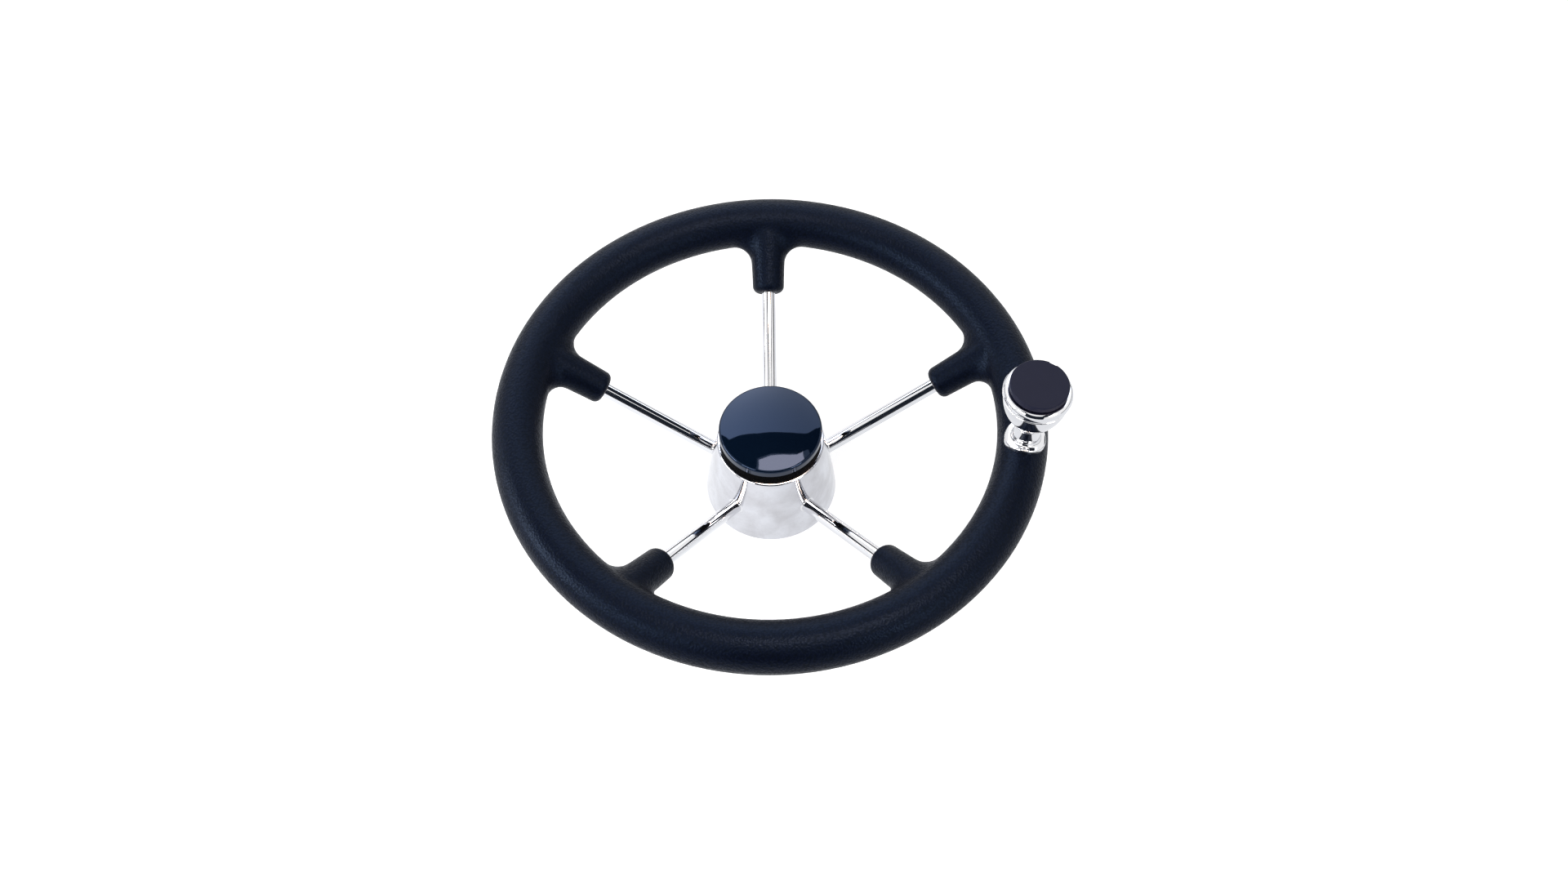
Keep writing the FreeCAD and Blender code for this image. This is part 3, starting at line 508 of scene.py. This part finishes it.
class WHEEL_OT_polished(Operator):
    """Finish the polished spokes, hub cone, knob and foot"""
    bl_idname = "wheel.polished"
    bl_label = "Polished steel"

    def execute(self, context):
        steel = context.scene.wheel_steel
        finish(SPOKES, polished_steel(steel, "polished_rod", 0.03))
        finish(("hub_cone",), spun_steel(context.scene.wheel_cone))
        finish(("knob_body", "knob_foot"), polished_steel(steel, "polished_knob", 0.03))
        return {"FINISHED"}


class WHEEL_OT_welds(Operator):
    """Add the polished weld round each spoke at the hub cone"""
    bl_idname = "wheel.welds"
    bl_label = "Spoke welds"

    def execute(self, context):
        bright = polished_steel(context.scene.wheel_steel, "polished_weld", 0.08)
        for place in range(len(SPOKES)):
            azimuth = math.radians(TOP_SPOKE + 360 / len(SPOKES) * place)
            points = weld_points(azimuth, context.scene.wheel_trim.weld_width)
            weld = grid_piece(f"spoke_weld_{place + 1}", points, True, True, bright)
            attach(weld, WHEEL)
        return {"FINISHED"}


class WHEEL_OT_turned(Operator):
    """Finish the steel inside the hub, the ring and the knob"""
    bl_idname = "wheel.turned"
    bl_label = "Turned steel"

    def execute(self, context):
        finish(INSIDE, turned_steel(context.scene.wheel_steel))
        return {"FINISHED"}


class WHEEL_OT_caps(Operator):
    """Finish the hub cap, the knob cap, the rubber rings and the bearing pieces"""
    bl_idname = "wheel.caps"
    bl_label = "Caps and rubber"

    def execute(self, context):
        caps = context.scene.wheel_caps
        finish(("hub_cap",), glossy_cap(caps.gloss_colour))
        finish(("knob_cap",), satin_cap(caps.satin_colour))
        finish(("cap_seal", "cap_retaining_ring"), seal_rubber())
        finish(("knob_thrust_washer", "knob_lower_bush", "knob_upper_bush"), bearing_plastic())
        return {"FINISHED"}


# Studio

# Outlines of the flags and cards that the metal and the caps mirror, in metres: a row is a place along the
# card and its two edges there
OVERHEAD_FLAG = (
    (-2.40, 0.80, 2.00), (-1.75, 0.60, 1.53), (-1.50, 0.30, 1.24), (-1.25, -0.20, 0.93),
    (-0.90, -0.70, 0.97), (-0.45, -0.70, 0.93), (-0.36, 0.10, 0.91), (0.00, 0.22, 0.93),
    (0.40, 0.24, 0.94), (0.80, 0.30, 0.99), (1.00, 0.44, 1.04), (1.08, 0.48, 1.08),
    (1.16, -0.70, 1.14), (1.45, -0.70, 1.45), (1.90, -0.30, 1.85), (2.40, 0.20, 2.30),
)
OVERHEAD_CARD = (
    (-0.34, -0.6, 0.06), (0.00, -0.6, 0.18), (0.30, -0.6, 0.21), (0.50, -0.6, 0.22), (0.75, -0.6, 0.26),
    (0.95, -0.6, 0.40),
)
REAR_CARD = ((-3.5, 0.9, 9.0), (3.5, 0.9, 9.0))
CAMERA_SIDE_FLAG = (
    (-2.0, 1.9, 2.9), (-1.5, 1.3, 2.9), (-1.0, 0.8, 2.6), (-0.7, 0.0, 1.9), (-0.3, 0.0, 1.5),
    (0.0, 0.0, 1.4), (0.5, 0.0, 1.5), (0.6, 0.8, 1.8), (1.0, 1.2, 2.4), (1.6, 2.0, 2.9),
    (2.0, 2.4, 2.9),
)
SIDE_FLAG_LOW = RIM_MIDDLE - 0.02
SIDE_FLAG_HIGH = RIM_MIDDLE + 0.22
SIDE_FLAG = ((-1.2, SIDE_FLAG_LOW, SIDE_FLAG_HIGH), (2.4, SIDE_FLAG_LOW, SIDE_FLAG_HIGH))

# Where they stand: the y of the camera side's flag, the x of the side flags, and two heights over the ceiling
CAMERA_SIDE = -1.5
SIDES = 2.2
CARD_ABOVE_FLAG = 0.1
REAR_ABOVE_FLAG = 0.2

# The floor's glow in the metal: full at the left place, even at the right one
GLOW_LEFT, GLOW_RIGHT = -0.06, 0.06
GLOW_FULL, GLOW_EVEN = 1.14, 0.92

# The rear card's glow, as shares of its brightness at the left and the right place
REAR_LEFT, REAR_RIGHT = -1.5, 1.5
REAR_FULL, REAR_FAINT = 1.25, 0.75

DARK = (0.012, 0.016, 0.024)
WARM = (1.0, 0.76, 0.61)
COOL = (0.85, 0.90, 1.0)
PALE = (0.96, 0.975, 1.0)
PAPER = (0.8, 0.8, 0.8)
WHITE = (1.0, 1.0, 1.0)

# How far the floor is lifted to white for the camera, and the level of the surroundings' light on dull things
FLOOR_LIFT = 0.62
SURROUNDINGS = 0.55

# Softboxes: the azimuth, elevation and distance seen from the ring's centre, and the lamp's two sides
SOFTBOXES = (
    ("key_softbox", (-98, 20, 1.5), (0.9, 0.45)),
    ("low_softbox", (-138, 32, 1.3), (0.5, 0.35)),
    ("side_softbox", (133, 28, 1.3), (0.4, 0.3)),
)

# The camera: its slide to the right and down in its own picture, its sensor in millimetres, its nearest view
CAMERA_SLIDE = (8.6 * MM, -16.5 * MM, 0.0)
SENSOR_WIDTH = 36.0
NEAREST_VIEW = 0.01


def bare_material(name):
    """A new material with no nodes. Gives it, its nodes and its links."""
    material = bpy.data.materials.new(name)
    material.use_nodes = True
    nodes = material.node_tree.nodes
    nodes.clear()
    return material, nodes, material.node_tree.links


def show(nodes, links, shader):
    """Make a shader the surface of its material."""
    output = nodes.new("ShaderNodeOutputMaterial")
    links.new(shader, output.inputs["Surface"])


def emission_material(name, colour, strength):
    """An even glow."""
    material, nodes, links = bare_material(name)
    glow = nodes.new("ShaderNodeEmission")
    glow.inputs["Color"].default_value = (*colour, 1.0)
    glow.inputs["Strength"].default_value = strength
    show(nodes, links, glow.outputs["Emission"])
    return material


def seen_by(nodes, links):
    """Two values of 1 or 0: whether a ray comes from the camera, and whether from a mirror or glass."""
    path = nodes.new("ShaderNodeLightPath")
    mirror = nodes.new("ShaderNodeMath")
    mirror.operation = "MAXIMUM"
    links.new(path.outputs["Is Glossy Ray"], mirror.inputs[0])
    links.new(path.outputs["Is Transmission Ray"], mirror.inputs[1])
    return path.outputs["Is Camera Ray"], mirror.outputs["Value"]


def mixed(nodes, links, share, first, second):
    """The first shader where the share is 0, and the second where it is 1."""
    mix = nodes.new("ShaderNodeMixShader")
    links.new(share, mix.inputs["Fac"])
    links.new(first, mix.inputs[1])
    links.new(second, mix.inputs[2])
    return mix.outputs["Shader"]


def sloping_glow(nodes, links, colour, places, levels):
    """A glow that goes smoothly from one level to the other between two places along X."""
    place = nodes.new("ShaderNodeTexCoord")
    split = nodes.new("ShaderNodeSeparateXYZ")
    links.new(place.outputs["Object"], split.inputs["Vector"])
    slope = nodes.new("ShaderNodeMapRange")
    slope.interpolation_type = "SMOOTHSTEP"
    for socket, number in zip(("From Min", "From Max", "To Min", "To Max"), (*places, *levels)):
        slope.inputs[socket].default_value = number
    links.new(split.outputs["X"], slope.inputs["Value"])
    glow = nodes.new("ShaderNodeEmission")
    glow.inputs["Color"].default_value = (*colour, 1.0)
    links.new(slope.outputs["Result"], glow.inputs["Strength"])
    return glow.outputs["Emission"]


def rear_material(strength):
    """The rear card: cool, and brighter to the left, where the light comes from."""
    material, nodes, links = bare_material("rear_card")
    levels = (strength * REAR_FULL, strength * REAR_FAINT)
    show(nodes, links, sloping_glow(nodes, links, COOL, (REAR_LEFT, REAR_RIGHT), levels))
    return material


def floor_material():
    """Pale floor: white with a soft shadow to the camera, a glow to the metal, and clear from below."""
    material, nodes, links = bare_material("studio_floor")
    camera, mirror = seen_by(nodes, links)
    paper = nodes.new("ShaderNodeBsdfDiffuse")
    paper.inputs["Color"].default_value = (*PAPER, 1.0)
    fill = nodes.new("ShaderNodeEmission")
    fill.inputs["Strength"].default_value = FLOOR_LIFT
    lifted = nodes.new("ShaderNodeAddShader")
    links.new(paper.outputs["BSDF"], lifted.inputs[0])
    links.new(fill.outputs["Emission"], lifted.inputs[1])
    shown = mixed(nodes, links, camera, paper.outputs["BSDF"], lifted.outputs["Shader"])
    glow = sloping_glow(nodes, links, PALE, (GLOW_LEFT, GLOW_RIGHT), (GLOW_FULL, GLOW_EVEN))
    shown = mixed(nodes, links, mirror, shown, glow)
    side = nodes.new("ShaderNodeNewGeometry")
    clear = nodes.new("ShaderNodeBsdfTransparent")
    shown = mixed(nodes, links, side.outputs["Backfacing"], shown, clear.outputs["BSDF"])
    show(nodes, links, shown)
    return material


def studio_world():
    """White surroundings for the camera and the metal, and a softer light on dull things."""
    world = bpy.data.worlds.new("studio")
    bpy.context.scene.world = world
    world.use_nodes = True
    nodes = world.node_tree.nodes
    links = world.node_tree.links
    camera, mirror = seen_by(nodes, links)
    shown = nodes.new("ShaderNodeMath")
    shown.operation = "MAXIMUM"
    links.new(camera, shown.inputs[0])
    links.new(mirror, shown.inputs[1])
    level = nodes.new("ShaderNodeMapRange")
    level.inputs["To Min"].default_value = SURROUNDINGS
    level.inputs["To Max"].default_value = 1.0
    links.new(shown.outputs["Value"], level.inputs["Value"])
    links.new(level.outputs["Result"], nodes["Background"].inputs["Strength"])
    nodes["Background"].inputs["Color"].default_value = (*WHITE, 1.0)


def card(name, rows, lies, distance, material):
    """A flat card: first edge x (1 - v) + second edge x v, with v from 0 to 1, along its rows.

    It lies "level" at a height, "across" the view at a y, or "along" it at an x. Only reflections show it. It
    casts no shadow and lights nothing dull.
    """
    along, first, second = np.array(rows).T
    flat = np.full_like(along, distance)
    if lies == "level":
        edges = (along, first, flat), (along, second, flat)
    elif lies == "across":
        edges = (along, flat, first), (along, flat, second)
    else:
        edges = (flat, along, first), (flat, along, second)
    start, end = (np.stack(edge, -1)[:, None] for edge in edges)
    v = np.linspace(0.0, 1.0, 2)[None, :, None]
    piece = grid_piece(name, start * (1 - v) + end * v, False, False, material)
    piece.visible_camera = False
    piece.visible_shadow = False
    piece.visible_diffuse = False


def toward(azimuth, elevation, distance):
    """A place seen from the ring's centre: azimuth from +Y towards +X and elevation, in degrees."""
    turn = math.radians(azimuth)
    lift = math.radians(elevation)
    flat = distance * math.cos(lift)
    return Vector((flat * math.sin(turn), flat * math.cos(turn), RIM_MIDDLE + distance * math.sin(lift)))


class WHEEL_OT_studio(Operator):
    """Build the floor, the lights, the cards and the camera"""
    bl_idname = "wheel.studio"
    bl_label = "Studio"

    def execute(self, context):
        studio = context.scene.wheel_studio
        half = studio.floor_size / 2
        below = cad_bounds[0][2] - FLOOR_GAP
        u, v = np.meshgrid((-half, half), (-half, half), indexing="ij")
        points = np.stack((u, v, np.full_like(u, below)), -1)
        floor = grid_piece("floor", points, False, False, floor_material())
        studio_world()

        dark = emission_material("dark_card", DARK, 1.0)
        card("overhead_flag", OVERHEAD_FLAG, "level", CEILING, dark)
        card("overhead_card", OVERHEAD_CARD, "level", CEILING + CARD_ABOVE_FLAG,
             emission_material("warm_card", WARM, studio.overhead_glow))
        card("rear_card", REAR_CARD, "level", CEILING + REAR_ABOVE_FLAG, rear_material(studio.rear_glow))
        card("left_flag", SIDE_FLAG, "along", -SIDES, dark)
        card("right_flag", SIDE_FLAG, "along", SIDES, dark)
        card("camera_side_flag", CAMERA_SIDE_FLAG, "across", CAMERA_SIDE, dark)

        powers = (studio.key_power, studio.low_power, studio.side_power)
        for (name, place, sides), power in zip(SOFTBOXES, powers):
            self.softbox(name, toward(*place), sides, power)

        self.place_camera(context.scene, studio)
        context.scene.view_settings.view_transform = "Standard"
        return {"FINISHED"}

    def softbox(self, name, place, sides, power):
        """A rectangular lamp that faces the ring's centre."""
        lamp = bpy.data.lights.new(name, "AREA")
        lamp.shape = "RECTANGLE"
        lamp.size, lamp.size_y = sides
        lamp.energy = power
        stand = bpy.data.objects.new(name, lamp)
        stand.matrix_world = facing_matrix(place, Vector((0, 0, RIM_MIDDLE)))
        bpy.context.collection.objects.link(stand)

    def place_camera(self, scene, studio):
        """Put the camera on a sphere round the ring's centre, then slide it to frame the wheel."""
        away = Vector((
            -math.sin(studio.azimuth) * math.cos(studio.elevation),
            -math.cos(studio.azimuth) * math.cos(studio.elevation),
            math.sin(studio.elevation),
        ))
        centre = Vector((0, 0, RIM_MIDDLE))
        turn = facing_matrix(centre + away * studio.distance, centre)
        turn.translation += turn.to_3x3() @ Vector(CAMERA_SLIDE)
        lens = bpy.data.cameras.new("camera")
        lens.sensor_width = SENSOR_WIDTH
        lens.lens = studio.lens
        lens.clip_start = NEAREST_VIEW
        camera = bpy.data.objects.new("camera", lens)
        camera.matrix_world = turn
        bpy.context.collection.objects.link(camera)
        scene.camera = camera


def facing_matrix(place, target):
    """Where a lamp or camera stands, turned to look at a target with its top up."""
    turn = (target - place).to_track_quat("-Z", "Y").to_matrix().to_4x4()
    return Matrix.Translation(place) @ turn


class WHEEL_PT_panel(Panel):
    """Lists the steps that dress the wheel"""
    bl_label = "Boat steering wheel"
    bl_idname = "WHEEL_PT_panel"
    bl_space_type = "VIEW_3D"
    bl_region_type = "UI"
    bl_category = "Wheel"

    def draw(self, context):
        for step in STEPS:
            self.layout.operator(step.bl_idname)
        for name in SETTINGS:
            settings = getattr(context.scene, name)
            box = self.layout.box()
            for field in settings.bl_rna.properties:
                if field.identifier not in ("rna_type", "name"):
                    box.prop(settings, field.identifier)


STEPS = (WHEEL_OT_grip, WHEEL_OT_polished, WHEEL_OT_welds, WHEEL_OT_turned, WHEEL_OT_caps, WHEEL_OT_studio)


def register():
    for item in (*SETTINGS.values(), *STEPS, WHEEL_PT_panel):
        bpy.utils.register_class(item)
    for name, group in SETTINGS.items():
        setattr(bpy.types.Scene, name, PointerProperty(type=group))


def unregister():
    for name in SETTINGS:
        delattr(bpy.types.Scene, name)
    for item in (WHEEL_PT_panel, *reversed(STEPS), *SETTINGS.values()):
        bpy.utils.unregister_class(item)


def main():
    register()
    for step in STEPS:
        group, action = step.bl_idname.split(".")
        getattr(getattr(bpy.ops, group), action)()


if __name__ == "__main__":
    main()
